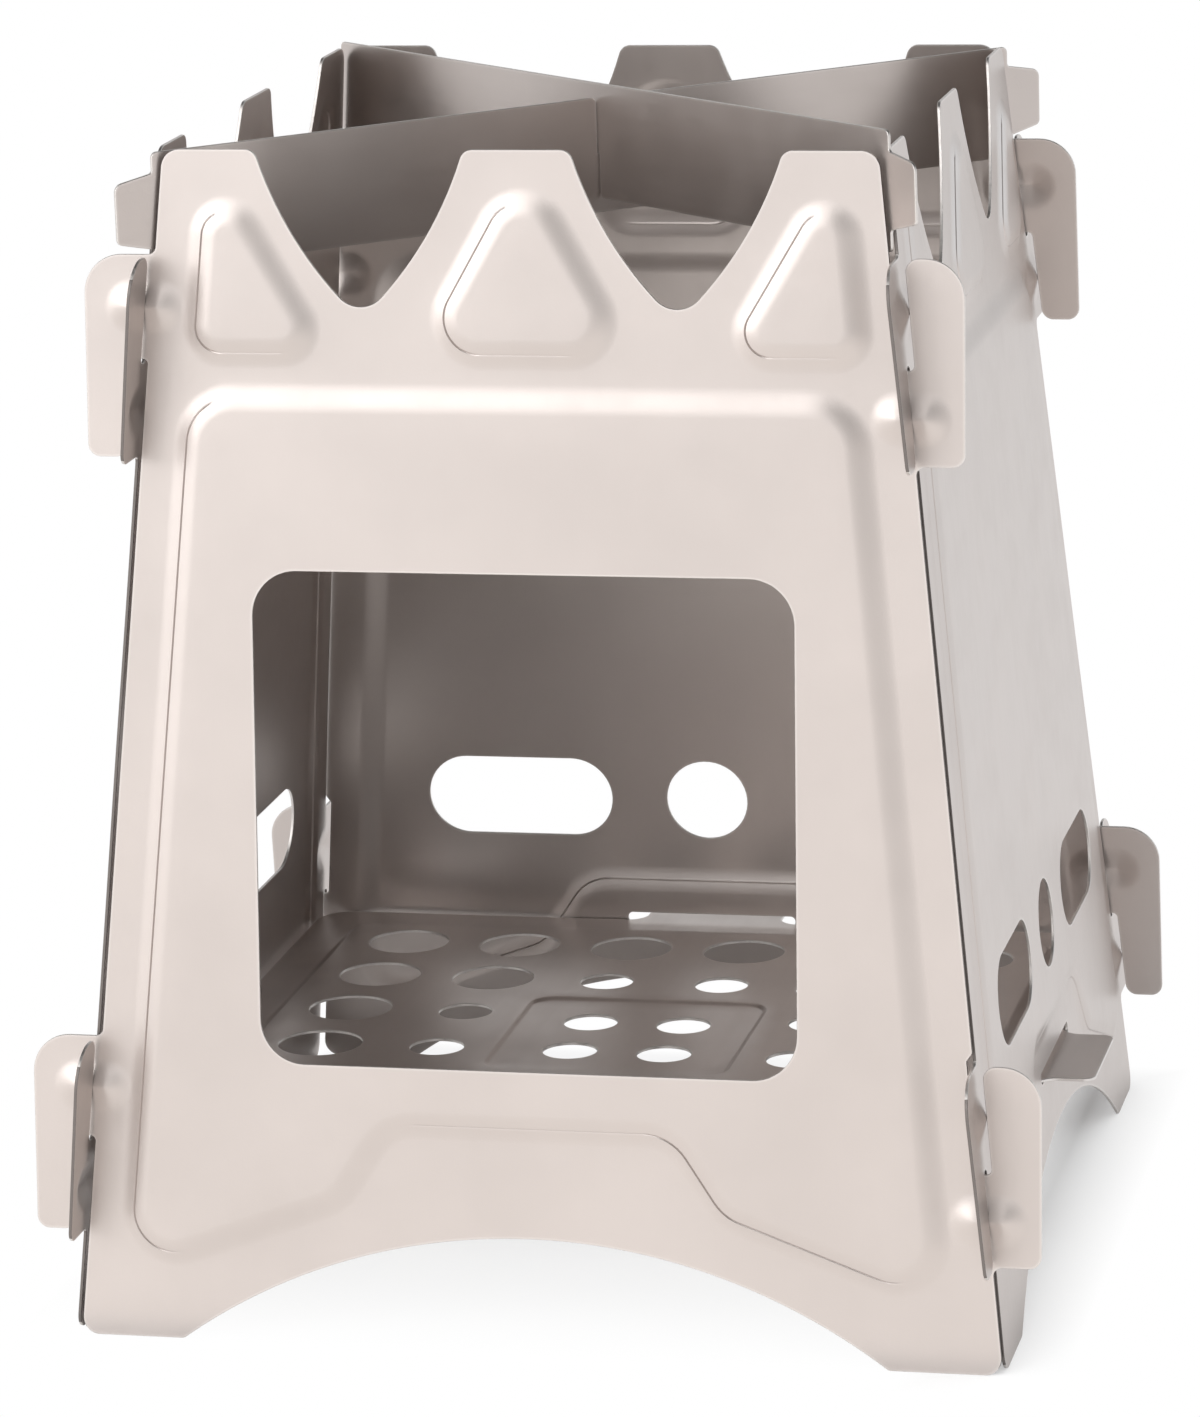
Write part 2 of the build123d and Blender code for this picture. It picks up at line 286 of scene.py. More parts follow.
def rounded_loop(runs, radii, step=RUN_STEP):
    """Closed loop of runs, each meeting the next in a rounded corner."""
    count = len(runs)
    ends = [[0.0, len(run) - 1.0] for run in runs]
    corners = [None] * count
    for i, radius in enumerate(radii):
        a, b = runs[i], runs[(i + 1) % count]
        if radius == 0:
            continue
        into, out = a[-1] - a[-2], b[1] - b[0]
        side = 1 if into[0] * out[1] - into[1] * out[0] > 0 else -1
        beside_a, beside_b = moved_left(a, side * radius), moved_left(b, side * radius)
        on_a, on_b = crossing(beside_a, beside_b)
        ends[i][1], ends[(i + 1) % count][0] = on_a, on_b
        corners[i] = point_at(beside_a, on_a)
    loop = []
    for i in range(count):
        part = between(runs[i], *ends[i])
        loop.append(resampled(part, step)[:-1])
        if corners[i] is None:
            continue
        after = (i + 1) % count
        turn = arc(corners[i], part[-1], point_at(runs[after], ends[after][0]), TURN_STEP)
        loop.append(turn[:-1])
    return np.concatenate(loop)


def polygon(corners, step=RUN_STEP):
    """Closed loop through corners of (across, up, radius)."""
    points = [(x, y) for x, y, radius in corners]
    runs = [line(points[i - 1], points[i]) for i in range(len(points))]
    return rounded_loop(runs, [radius for x, y, radius in corners], step)


def rounded_box(width, height, radius, x=0.0, y=0.0, step=RUN_STEP):
    signs = [(1, -1), (1, 1), (-1, 1), (-1, -1)]
    radius = min(radius, min(width, height) / 2 - RADIUS_SLACK)
    corners = [(x + sx * width / 2, y + sy * height / 2, radius) for sx, sy in signs]
    return polygon(corners, step)


def circle(diameter, x=0.0, y=0.0):
    angles = np.arange(0, 2 * pi, TURN_STEP)
    return np.c_[x + diameter / 2 * np.cos(angles), y + diameter / 2 * np.sin(angles)]


def mirrored(corners):
    """Corners on the other side of the middle, in the order that goes on round the loop."""
    return [(-x, y, radius) for x, y, radius in corners[::-1]]


def hook_line(foot):
    """Outer edge of a hook, from the middle of the wall."""
    return half_width(foot + HOOK_HEIGHT / 2) + HOOK_REACH


def low_neck_edge(cover, foot_cover):
    """Right-hand edge from the foot up, with hooks joined at the bottom.

    Between the hooks and at the foot it can reach further, to cover the edge of its neighbour.
    """
    reach = foot_cover - CORNER_GAP
    corners = [(half_width(0) + reach, -FOOT_TRIM, FOOT_CORNER_RADIUS)]
    for foot in HOOK_FEET:
        slit, top = foot + LOW_NECK_HEIGHT, foot + HOOK_HEIGHT
        if cover and foot > HOOK_FEET[0]:
            reach = cover - CORNER_GAP
            start = HOOK_FEET[0] + HOOK_HEIGHT + COVER_CLEAR
            corners += [
                (half_width(start) - CORNER_GAP, start, COVER_RADIUS),
                (half_width(start + COVER_RAMP) + reach, start + COVER_RAMP, COVER_RADIUS),
            ]
        corners += [
            (half_width(foot) + reach, foot, HOOK_ROOT_RADIUS),
            (hook_line(foot), foot, HOOK_CORNER_RADIUS),
            (hook_line(foot), top, HOOK_SHOULDER_RADIUS),
            (half_width(top) + FINGER_GAP, top, HOOK_CORNER_RADIUS),
            (half_width(slit) + FINGER_GAP, slit, SLIT_RADIUS),
            (half_width(slit) - CORNER_GAP, slit, SLIT_RADIUS),
        ]
    return corners + [(half_width(WALL_HEIGHT) - CORNER_GAP, WALL_HEIGHT, TOOTH_OUTER_RADIUS)]


def high_neck_edge():
    """Right-hand edge from the foot up, with hooks joined at the top."""
    corners = [(half_width(0) - CORNER_GAP, -FOOT_TRIM, FOOT_CORNER_RADIUS)]
    for foot in HOOK_FEET:
        top = foot + HOOK_HEIGHT
        slit = top - HIGH_NECK_HEIGHT
        corners += [
            (half_width(slit) - CORNER_GAP, slit, SLIT_RADIUS),
            (half_width(slit) + FINGER_GAP, slit, SLIT_RADIUS),
            (half_width(foot) + FINGER_GAP, foot, HOOK_CORNER_RADIUS),
            (hook_line(foot), foot, HOOK_CORNER_RADIUS),
            (hook_line(foot), top, HOOK_SHOULDER_RADIUS),
            (half_width(top) - CORNER_GAP, top, HOOK_ROOT_RADIUS),
        ]
    return corners + [(half_width(WALL_HEIGHT) - CORNER_GAP, WALL_HEIGHT, TOOTH_OUTER_RADIUS)]


def wall_loop(cover, foot_cover):
    """Outline of a wall, anticlockwise from outside, with its notches and its arch."""
    runs, radii = [], []

    def go(run, radius):
        runs.append(run)
        radii.append(radius)

    right, left = low_neck_edge(cover, foot_cover), mirrored(high_neck_edge())
    for start, end in zip(right, right[1:]):
        go(line(start[:2], end[:2]), end[2])
    here = right[-1][:2]
    floor = WALL_HEIGHT - NOTCH_DEPTH
    for centre in (NOTCH_OFFSET, -NOTCH_OFFSET):
        near = (centre + NOTCH_HALF_WIDTH, WALL_HEIGHT)
        far = (centre - NOTCH_HALF_WIDTH, WALL_HEIGHT)
        go(line(here, near), TOOTH_INNER_RADIUS)
        go(bowed(near, (centre, floor), NOTCH_BOW), NOTCH_FLOOR_RADIUS)
        go(bowed((centre, floor), far, NOTCH_BOW), TOOTH_INNER_RADIUS)
        here = far
    go(line(here, left[0][:2]), left[0][2])
    for start, end in zip(left, left[1:]):
        go(line(start[:2], end[:2]), end[2])
    middle = np.array([0, ARCH_HEIGHT - ARCH_RADIUS])
    arch_half = sqrt(ARCH_RADIUS**2 - (middle[1] + FOOT_TRIM) ** 2)
    left_end, right_end = (-arch_half, -FOOT_TRIM), (arch_half, -FOOT_TRIM)
    go(line(left[-1][:2], left_end), ARCH_END_RADIUS)
    go(arc(middle, left_end, right_end), ARCH_END_RADIUS)
    go(line(right_end, right[0][:2]), right[0][2])
    return rounded_loop(runs, radii)


def wall_forms():
    """Pressed forms of a wall: (loop half way up the bevel, bevel, rise, depth of tool line)."""
    top_half = half_width(FIELD_TOP) - CORNER_GAP - FIELD_INSET
    foot_half = half_width(FIELD_FOOT_HEIGHT) - CORNER_GAP - FIELD_INSET
    side = [
        (top_half, FIELD_TOP, FIELD_TOP_RADIUS),
        (foot_half, FIELD_FOOT_HEIGHT, FIELD_FOOT_RADIUS),
        (*FIELD_SHOULDER, FIELD_STEP_RADIUS),
        (*FIELD_STEP, FIELD_STEP_RADIUS),
    ]
    field = polygon((side + mirrored(side))[::-1], FIELD_RUN_STEP)
    outer = half_width(PAD_FOOT) - CORNER_GAP - PAD_INSET
    rise = (outer - PAD_FOOT_HALF) / (PAD_FLANK_RUN + sin(WALL_LEAN))
    side_pad = [
        (PAD_FOOT_HALF, PAD_FOOT, PAD_RADIUS),
        (outer, PAD_FOOT, PAD_RADIUS),
        (outer - rise * sin(WALL_LEAN), PAD_FOOT + rise, PAD_RADIUS),
    ]
    centre_pad = [
        (-CENTRE_PAD_HALF, PAD_FOOT, CENTRE_PAD_RADIUS),
        (CENTRE_PAD_HALF, PAD_FOOT, CENTRE_PAD_RADIUS),
        (0, PAD_FOOT + CENTRE_PAD_HEIGHT, CENTRE_PAD_RADIUS),
    ]
    forms = [(field, FIELD_BEVEL, FORM_RISE, LINE_DEPTH)]
    for corners in (side_pad, mirrored(side_pad), centre_pad):
        pad = polygon(corners, PAD_RUN_STEP) + (PAD_SHIFT, 0)
        forms.append((pad, PAD_BEVEL, FORM_RISE, LINE_DEPTH))
    for foot in HOOK_FEET:
        low = foot + LOW_NECK_HEIGHT / 2
        high = foot + HOOK_HEIGHT - HIGH_NECK_HEIGHT / 2
        for x, y in ((half_width(low), low), (-half_width(high), high)):
            length, height = RIB_LENGTH - RIB_RUN, RIB_HEIGHT - RIB_RUN
            rib = rounded_box(length, height, height / 2, x, y, RIB_RUN_STEP)
            forms.append((rib, RIB_RUN, RIB_RISE, 0.0))
    return forms


def plate_loop():
    """Outline of the floor plate, with tabs to the left, the right and the back."""
    reach, half, tab = PLATE_HALF + TAB_REACH, PLATE_HALF, TAB_HALF
    side = [
        (half, -half, PLATE_CORNER_RADIUS),
        (half, -tab, TAB_ROOT_RADIUS),
        (reach, -tab, TAB_TIP_RADIUS),
        (reach, tab, TAB_TIP_RADIUS),
        (half, tab, TAB_ROOT_RADIUS),
        (half, half, PLATE_CORNER_RADIUS),
        (tab, half, TAB_ROOT_RADIUS),
        (tab, reach, TAB_TIP_RADIUS),
    ]
    return polygon(side + mirrored(side))


def plate_holes():
    """Two rings of holes in the floor plate, and four holes in its sunk middle."""
    lines = [(i - (HOLE_ROWS - 1) / 2) * HOLE_PITCH for i in range(HOLE_ROWS)]
    holes = []
    for x in lines:
        for y in lines:
            far, near = max(abs(x), abs(y)), min(abs(x), abs(y))
            if far > 2 * HOLE_PITCH or (far > HOLE_PITCH and near == far):
                holes.append(circle(LARGE_HOLE, x, y))
            elif far > HOLE_PITCH:
                holes.append(circle(SMALL_HOLE, x, y))
    for x in (-RECESS_HOLE_OFFSET, RECESS_HOLE_OFFSET):
        for y in (-RECESS_HOLE_OFFSET, RECESS_HOLE_OFFSET):
            holes.append(circle(SMALL_HOLE, x, y))
    return holes


def bar_loop(slot_side, slot_depth):
    """Outline of a pot bar, with its lap slot from the top edge or from the bottom edge."""
    half, tip = BAR_HALF_LENGTH, BAR_HALF_LENGTH + EAR_REACH
    right = [
        (half, -BAR_HEIGHT, BAR_CORNER_RADIUS),
        (half, -EAR_SEAT_DROP, EAR_ROOT_RADIUS),
        (tip, -EAR_TIP_DROP - EAR_TIP_HEIGHT, BAR_CORNER_RADIUS),
        (tip, -EAR_TIP_DROP, EAR_TIP_RADIUS),
        (half, -EAR_TOP_DROP, EAR_ROOT_RADIUS),
        (half, 0, BAR_CORNER_RADIUS),
    ]
    edge = 0.0 if slot_side == "top" else -BAR_HEIGHT
    inward = -slot_depth if slot_side == "top" else slot_depth
    slot = [
        (LAP_SLOT_WIDTH / 2, edge, LAP_MOUTH_RADIUS),
        (LAP_SLOT_WIDTH / 2, edge + inward, 0),
    ]
    if slot_side == "top":
        return polygon(right + slot + mirrored(slot) + mirrored(right))
    return polygon(right + mirrored(right) + mirrored(slot[::-1]) + slot[::-1])


# Sheets

def inside(loop, points):
    """Whether each point lies in a closed loop."""
    a, b = loop, np.roll(loop, -1, axis=0)
    x, y = points[:, 0, None], points[:, 1, None]
    spans = (a[:, 1] > y) != (b[:, 1] > y)
    with np.errstate(divide="ignore", invalid="ignore"):
        cut = a[:, 0] + (y - a[:, 1]) * (b[:, 0] - a[:, 0]) / (b[:, 1] - a[:, 1])
    return (spans & (x < cut)).sum(axis=1) % 2 == 1


def distance(loop, points):
    """From each point to a closed loop."""
    a = loop
    run = np.roll(loop, -1, axis=0) - a
    found = np.full(len(points), np.inf)
    for start in range(0, len(points), BATCH):
        part = points[start:start + BATCH, None]
        share = np.clip(((part - a) * run).sum(-1) / (run**2).sum(-1), 0, 1)
        gap = part - a - share[..., None] * run
        found[start:start + BATCH] = np.sqrt((gap**2).sum(-1)).min(axis=1)
    return found


def inset(loop, amount):
    """A loop moved to the left of its run, round its corners."""
    before, after = loop - np.roll(loop, 1, axis=0), np.roll(loop, -1, axis=0) - loop
    normals = []
    for run in (before, after):
        run = run / np.hypot(run[:, 0], run[:, 1])[:, None]
        normals.append(np.c_[-run[:, 1], run[:, 0]])
    middle = normals[0] + normals[1]
    middle /= (middle * normals[0]).sum(-1)[:, None]
    return loop + amount * middle


def tool_line(loop, points):
    """How plainly the line along a bevel shows at each point: on its left and its lower side."""
    run = np.roll(loop, -1, axis=0) - loop
    middles = loop + run / 2
    outward = np.c_[run[:, 1], -run[:, 0]] / np.hypot(run[:, 0], run[:, 1])[:, None]
    nearest = ((points[:, None] - middles) ** 2).sum(-1).argmin(axis=1)
    return np.clip(outward @ np.array(LINE_SIDE), 0, 1)[nearest]


def pressed(points, forms):
    """Height of the pressed forms above the flat sheet: a soft bevel with a fine line along it."""
    height = np.zeros(len(points))
    for loop, bevel, rise, line_depth in forms:
        low, high = loop.min(axis=0) - bevel, loop.max(axis=0) + bevel
        near = ((points > low) & (points < high)).all(axis=1)
        if not near.any():
            continue
        part = points[near]
        depth = distance(loop, part) * np.where(inside(loop, part), 1, -1)
        share = np.clip(0.5 + depth / bevel, 0, 1)
        height[near] += rise * share**2 * (3 - 2 * share)
        if line_depth:
            groove = np.clip(1 - np.abs(depth) / LINE_HALF_WIDTH, 0, 1)
            height[near] -= line_depth * groove * tool_line(loop, part)
    return height


def waves(points, seed):
    """The slight waviness of rolled sheet."""
    random = np.random.default_rng(seed)
    height = np.zeros(len(points))
    for length in WAVE_LENGTHS:
        turn, phase = random.uniform(0, 2 * pi, 2)
        along = points[:, 0] * cos(turn) + points[:, 1] * sin(turn)
        height += np.sin(along * 2 * pi / length + phase) / len(WAVE_LENGTHS)
    return height


def corner_edges(side_wall):
    """Picks the upright edges of a wall that stand in a corner, painted dark as the shade in the
    gap.
    """

    def gap_shaded(edge):
        run = np.roll(edge, -1, axis=0) - edge
        middles = edge + run / 2
        upright = np.abs(run[:, 1]) > UPRIGHT * np.hypot(run[:, 0], run[:, 1])
        beyond = np.abs(middles[:, 0]) - half_width(middles[:, 1])
        return upright & (beyond > GAP_SHADE_START) & ((beyond < GAP_SHADE_END) | side_wall)

    return gap_shaded


def sheet_layout(outline, holes, forms):
    """Flat points and triangles of a sheet, and the numbers of the points along each edge."""
    edges = [outline] + [hole[::-1] for hole in holes]
    rims = [inset(edge, BROKEN_EDGE) for edge in edges]
    loops = list(rims) + [inset(edge, WEAR_AND_HIGHLIGHT_WIDTH) for edge in edges]
    for loop, bevel, rise, line_depth in forms:
        steps = np.linspace(-bevel / 2, bevel / 2, 2 * ceil(bevel / RING_STEP / 2) + 1)
        if line_depth:
            beside = steps[np.abs(steps) > LINE_CLEAR]
            steps = np.r_[beside, -LINE_HALF_WIDTH, 0, LINE_HALF_WIDTH]
        loops += [inset(loop, step) for step in steps]
    points = np.concatenate(loops)
    lows, highs = points.min(axis=0), points.max(axis=0)
    across = np.arange(lows[0], highs[0], GRID_STEP)
    up = np.arange(lows[1], highs[1], GRID_ROW_STEP)
    shift = GRID_STEP / 2
    grid = np.array([(x + shift * (j % 2), y) for j, y in enumerate(up) for x in across])
    gap = np.concatenate([
        np.sqrt(((part[:, None] - points[None]) ** 2).sum(-1)).min(axis=1)
        for part in np.array_split(grid, GRID_PARTS)
    ])
    grid = grid[gap > GRID_CLEAR]
    links, start = [], 0
    for loop in loops:
        count = len(loop)
        links += [(start + i, start + (i + 1) % count) for i in range(count)]
        start += count
    vectors = [Vector(p) for p in np.concatenate([points, grid])]
    whole_hull = 0
    found, _, faces, origins, _, _ = delaunay_2d_cdt(
        vectors, links, [], whole_hull, JOIN_SLACK, True
    )
    flat = np.array([tuple(p) for p in found])
    faces = np.array([tuple(face) for face in faces])
    number = {}
    for i, sources in enumerate(origins):
        for source in sources:
            number[source] = i
    middles = flat[faces].mean(axis=1)
    keep = inside(rims[0], middles)
    for rim in rims[1:]:
        keep &= ~inside(rim, middles)
    borders, start = [], 0
    for rim in rims:
        borders.append([number[start + i] for i in range(len(rim))])
        start += len(rim)
    return edges, flat, faces[keep], borders


def sheet_mesh(name, layout, forms, seed, gap_shaded=None):
    """Mesh of a sheet in its own flat place, in millimetres, with its edges' own materials."""
    edges, flat, faces, borders = layout
    used = np.unique(np.concatenate([faces.ravel(), *map(np.array, borders)]))
    renumber = np.full(len(flat), -1)
    renumber[used] = np.arange(len(used))
    flat, faces = flat[used], renumber[faces]
    borders = [renumber[border] for border in borders]
    count = len(flat)
    height = pressed(flat, forms) + WAVE_HEIGHT * waves(flat, seed)
    edge_gap = np.min([distance(edge, flat) for edge in edges], axis=0)
    # Share of the edge band that is lighter, partly as burnish and partly as a painted highlight
    wear_and_highlight = np.clip(1 - (edge_gap - BROKEN_EDGE) / (WEAR_AND_HIGHLIGHT_WIDTH - BROKEN_EDGE), 0, 1)
    half = SHEET / 2
    points = [np.c_[flat, height + half], np.c_[flat, height - half]]
    worn_and_highlit = [wear_and_highlight, wear_and_highlight]
    a, b, c = faces.T
    flip = np.cross(flat[b] - flat[a], flat[c] - flat[a]) < 0
    faces[flip] = faces[flip][:, ::-1]
    polygons = [tuple(f) for f in faces] + [tuple(f[::-1] + count) for f in faces]
    kinds = [FACE_KIND] * len(polygons)
    start = 2 * count
    for edge, border in zip(edges, borders):
        size = len(edge)
        level = height[border]
        points.append(np.c_[edge, level + half - BROKEN_EDGE])
        points.append(np.c_[edge, level - half + BROKEN_EDGE])
        worn_and_highlit += [np.ones(size), np.ones(size)]
        top, bottom = start + np.arange(size), start + size + np.arange(size)
        rows = [border, top, bottom, border + count]
        for upper, lower in zip(rows, rows[1:]):
            for i in range(size):
                j = (i + 1) % size
                polygons.append((upper[i], lower[i], lower[j], upper[j]))
        # Upright edges in a corner gap take the dark colour of painted shade
        gap_shaded_edges = gap_shaded(edge) if gap_shaded else np.zeros(size, bool)
        kinds += np.where(gap_shaded_edges, GAP_SHADE_KIND, EDGE_KIND).tolist() * (len(rows) - 1)
        start += 2 * size
    points = np.concatenate(points)
    mesh = bpy.data.meshes.new(name)
    polygons = [tuple(int(i) for i in corners) for corners in polygons]
    mesh.from_pydata(points.tolist(), [], polygons)
    mesh.polygons.foreach_set("material_index", kinds)
    mesh.polygons.foreach_set("use_smooth", [True] * len(polygons))
    worn_and_highlit_points = mesh.attributes.new("wear_and_highlight", "FLOAT", "POINT")
    worn_and_highlit_points.data.foreach_set("value", np.concatenate(worn_and_highlit))
    mesh.validate()
    return mesh


def place_matrix(origin, across, up):
    """From flat millimetres to metres in the shared frame."""
    across, up = Vector(across).normalized(), Vector(up).normalized()
    out = across.cross(up)
    turned = Matrix((across, up, out)).transposed().to_4x4()
    return Matrix.Translation(Vector(origin) * MM) @ turned @ Matrix.Scale(MM, 4)


def wall_matrix(turn):
    """Place of a wall, turned round the stove."""
    out = Vector((sin(turn), -cos(turn), 0))
    across = Vector((-out.y, out.x, 0))
    up = Vector((-out.x * sin(WALL_LEAN), -out.y * sin(WALL_LEAN), cos(WALL_LEAN)))
    return place_matrix(out * BASE_HALF_WIDTH, across, up)


def bar_matrix(turn, lean, top):
    """Place of a pot bar, from the middle of its top edge."""
    along = Vector((cos(turn) * cos(lean), sin(turn) * cos(lean), sin(lean)))
    out = Vector((sin(turn), -cos(turn), 0))
    return place_matrix((0, 0, top), along, out.cross(along))


def stand(name, mesh, matrix, node, body, materials):
    """Puts a sheet in its place of the shared frame and hands it its finish."""
    mesh.transform(matrix)
    for vertex in mesh.vertices:
        vertex.co.z = max(vertex.co.z, 0.0)
    mesh.set_sharp_from_angle(angle=SHARP_ANGLE)
    for material in materials:
        mesh.materials.append(material)
    piece = bpy.data.objects.new(name, mesh)
    bpy.context.scene.collection.objects.link(piece)
    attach(piece, body)
    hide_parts(node)


# Materials

WALL_COLOUR = (0.54, 0.489, 0.464)
FLOOR_COLOUR = (0.57, 0.516, 0.49)
BAR_COLOUR = (0.54, 0.489, 0.464)
# Cut edges and the band beside them are lighter: bare burnished metal, and partly a painted
# highlight
EDGE_METAL_AND_HIGHLIGHT_COLOUR = (0.70, 0.665, 0.64)
# Painted shade: the dark colour of the wall edges in the corner gaps, where the gap is in shade
GAP_SHADE_COLOUR = (0.19, 0.171, 0.162)
DARKER, LIGHTER = 0.965, 1.03
MARKS_DARKER = 0.9
SHEET_ROUGHNESS = 0.40
BAR_ROUGHNESS = 0.37

# Scales of the noise, per metre along x, y and z. The streaks run along each sheet's rolling.
WALL_STREAKS = (900, 900, 30)
FLOOR_STREAKS = (900, 30, 900)
BAR_STREAKS = (60, 60, 1200)

# Noise: scale, detail and roughness
GRAIN = ((2600, 2600, 2600), 2.0, 0.6)
CLOUDS = ((38, 38, 38), 3.0, 0.55)
SMUDGES = ((95, 80, 110), 4.0, 0.6)
MARKS = ((1500, 1500, 1500), 3.0, 0.5)
STREAK_DETAIL = (3.0, 0.6)

# Ranges: a low and a high value, and what each becomes
BURNISH_AND_HIGHLIGHT = (0.55, 1.0, 0.0, 0.5)
CLOUD_SHADE = (0.3, 0.7, 0.0, 1.0)
SMUDGE_GLOSS = (0.45, 0.75, -0.012, 0.04)
STREAK_GLOSS = (0.3, 0.7, -0.015, 0.015)
STREAK_RELIEF = (0.0, 1.0, 0.0, 0.35)
MARK_SHADE = (0.35, 0.65, 0.0, 1.0)
MARK_GLOSS = (0.3, 0.7, 0.38, 0.55)
CLOUD_RANGE = (0.3, 0.7)
CLOUD_GLOSS = 0.02

# Bump: strengths, and the distance in metres
GRAIN_BUMP = 0.05
MARK_BUMP = 0.12
BUMP_DISTANCE = 0.0002


def shader(name):
    """A material with no nodes yet, with its nodes and its links."""
    material = bpy.data.materials.new(name)
    material.use_nodes = True
    nodes = material.node_tree.nodes
    nodes.clear()
    return material, nodes, material.node_tree.links


def mapped_noise(nodes, links, coords, scale, detail, roughness):
    mapping = nodes.new("ShaderNodeMapping")
    mapping.inputs["Scale"].default_value = scale
    links.new(coords, mapping.inputs["Vector"])
    noise = nodes.new("ShaderNodeTexNoise")
    noise.inputs["Scale"].default_value = 1.0
    noise.inputs["Detail"].default_value = detail
    noise.inputs["Roughness"].default_value = roughness
    links.new(mapping.outputs["Vector"], noise.inputs["Vector"])
    return noise.outputs["Fac"]


def ranged(nodes, links, value, low, high, to_low, to_high, interpolation="LINEAR"):
    """A value, mapped so that a low and a high one become two others, and held between them."""
    node = nodes.new("ShaderNodeMapRange")
    node.interpolation_type = interpolation
    for socket, number in zip(node.inputs[1:5], (low, high, to_low, to_high)):
        socket.default_value = number
    links.new(value, node.inputs[0])
    return node.outputs[0]


def combined(nodes, links, a, b, operation):
    node = nodes.new("ShaderNodeMath")
    node.operation = operation
    links.new(a, node.inputs[0])
    links.new(b, node.inputs[1])
    return node.outputs[0]


def added(nodes, links, a, b):
    return combined(nodes, links, a, b, "ADD")


def multiplied(nodes, links, a, b):
    return combined(nodes, links, a, b, "MULTIPLY")


def greater(nodes, links, a, b):
    """The greater of two values."""
    return combined(nodes, links, a, b, "MAXIMUM")


def absolute(nodes, links, value):
    node = nodes.new("ShaderNodeMath")
    node.operation = "ABSOLUTE"
    links.new(value, node.inputs[0])
    return node.outputs[0]


def mixed(nodes, links, share, a, b):
    """A colour between two others, each a node's output or plain numbers."""
    node = nodes.new("ShaderNodeMix")
    node.data_type = "RGBA"
    links.new(share, node.inputs["Factor"])
    for socket, value in ((node.inputs[6], a), (node.inputs[7], b)):
        if isinstance(value, tuple):
            socket.default_value = (*value, 1)
        else:
            links.new(value, socket)
    return node.outputs[2]


def metal(name):
    """A metallic surface to build on, with its nodes, its links and its coordinates."""
    material, nodes, links = shader(name)
    output = nodes.new("ShaderNodeOutputMaterial")
    surface = nodes.new("ShaderNodeBsdfPrincipled")
    links.new(surface.outputs[0], output.inputs["Surface"])
    surface.inputs["Metallic"].default_value = 1.0
    coords = nodes.new("ShaderNodeTexCoord").outputs["Object"]
    return material, nodes, links, surface, coords


def bump(nodes, links, surface, height, strength):
    node = nodes.new("ShaderNodeBump")
    node.inputs["Strength"].default_value = strength
    node.inputs["Distance"].default_value = BUMP_DISTANCE
    links.new(height, node.inputs["Height"])
    links.new(node.outputs["Normal"], surface.inputs["Normal"])


def satin_sheet(name, colour, roughness, streak_scale):
    """Satin rolled sheet: fine grain, faint rolling streaks, cloudy gloss, edges lightened partly
    as burnish and partly as a painted highlight.
    """
    material, nodes, links, surface, coords = metal(name)
    grain = mapped_noise(nodes, links, coords, *GRAIN)
    streaks = mapped_noise(nodes, links, coords, streak_scale, *STREAK_DETAIL)
    clouds = mapped_noise(nodes, links, coords, *CLOUDS)
    smudges = mapped_noise(nodes, links, coords, *SMUDGES)
    wear_and_highlight = nodes.new("ShaderNodeAttribute")
    wear_and_highlight.attribute_name = "wear_and_highlight"
    # Edges lightened partly as burnish and partly as a painted highlight
    burnish_and_highlight = ranged(nodes, links, wear_and_highlight.outputs["Fac"], *BURNISH_AND_HIGHLIGHT)
    shade = ranged(nodes, links, clouds, *CLOUD_SHADE)
    dark = tuple(channel * DARKER for channel in colour)
    light = tuple(channel * LIGHTER for channel in colour)
    base = mixed(nodes, links, shade, dark, light)
    base = mixed(nodes, links, burnish_and_highlight, base, EDGE_METAL_AND_HIGHLIGHT_COLOUR)
    links.new(base, surface.inputs["Base Color"])
    gloss = (roughness - CLOUD_GLOSS, roughness + CLOUD_GLOSS)
    cloudy = ranged(nodes, links, clouds, *CLOUD_RANGE, *gloss)
    smudged = ranged(nodes, links, smudges, *SMUDGE_GLOSS)
    streaky = ranged(nodes, links, streaks, *STREAK_GLOSS)
    rough = added(nodes, links, added(nodes, links, cloudy, smudged), streaky)
    links.new(rough, surface.inputs["Roughness"])
    relief = added(nodes, links, grain, ranged(nodes, links, streaks, *STREAK_RELIEF))
    bump(nodes, links, surface, relief, GRAIN_BUMP)
    return material


def cut_edge(name, colour):
    """Cut edge of the sheet, bare metal with fine marks, in the colour given: lighter as a painted
    highlight, or dark as painted shade.
    """
    material, nodes, links, surface, coords = metal(name)
    marks = mapped_noise(nodes, links, coords, *MARKS)
    dark = tuple(channel * MARKS_DARKER for channel in colour)
    share = ranged(nodes, links, marks, *MARK_SHADE)
    links.new(mixed(nodes, links, share, dark, colour), surface.inputs["Base Color"])
    links.new(ranged(nodes, links, marks, *MARK_GLOSS), surface.inputs["Roughness"])
    bump(nodes, links, surface, marks, MARK_BUMP)
    return material


wall_metal = satin_sheet("satin_wall_sheet", WALL_COLOUR, SHEET_ROUGHNESS, WALL_STREAKS)
floor_metal = satin_sheet("satin_floor_sheet", FLOOR_COLOUR, SHEET_ROUGHNESS, FLOOR_STREAKS)
bar_metal = satin_sheet("satin_bar_sheet", BAR_COLOUR, BAR_ROUGHNESS, BAR_STREAKS)
edge_metal_and_highlight = cut_edge("sheared_edge_and_highlight", EDGE_METAL_AND_HIGHLIGHT_COLOUR)
# Edges painted dark as the shade in the corner gaps
gap_shade_metal = cut_edge("painted_shade_corner_edge", GAP_SHADE_COLOUR)

